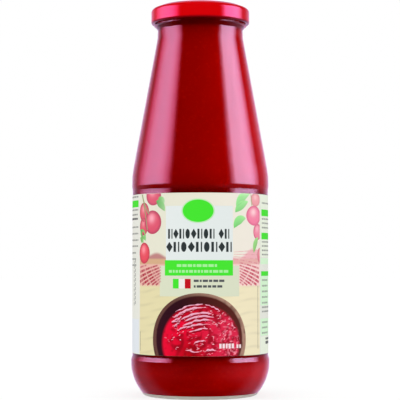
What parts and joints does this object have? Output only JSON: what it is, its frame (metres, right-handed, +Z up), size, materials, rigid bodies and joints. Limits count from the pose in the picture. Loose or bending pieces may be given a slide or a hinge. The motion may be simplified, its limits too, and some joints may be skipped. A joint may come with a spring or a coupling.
{
  "type": "passata bottle",
  "caption": "Tall round glass bottle of tomato passata with a long conical shoulder, a twist-off metal cap and a paper label wrapped round its straight middle.",
  "frame": {"origin": "middle of the ring that the bottle stands on, on the floor plane", "axes": "+Z up along the bottle's axis; -Y out of the front of the label; +X to the right of someone facing the label"},
  "size_m": [0.0794, 0.0794, 0.2248],
  "materials": {
    "clear_glass": "gloss",
    "passata": "wet",
    "red_lacquer": "gloss",
    "label_paper": "satin"
  },
  "bodies": {
    "root": {"bottle": "clear_glass", "passata": "passata", "cap": "red_lacquer", "label": "label_paper"}
  },
  "joints": []
}
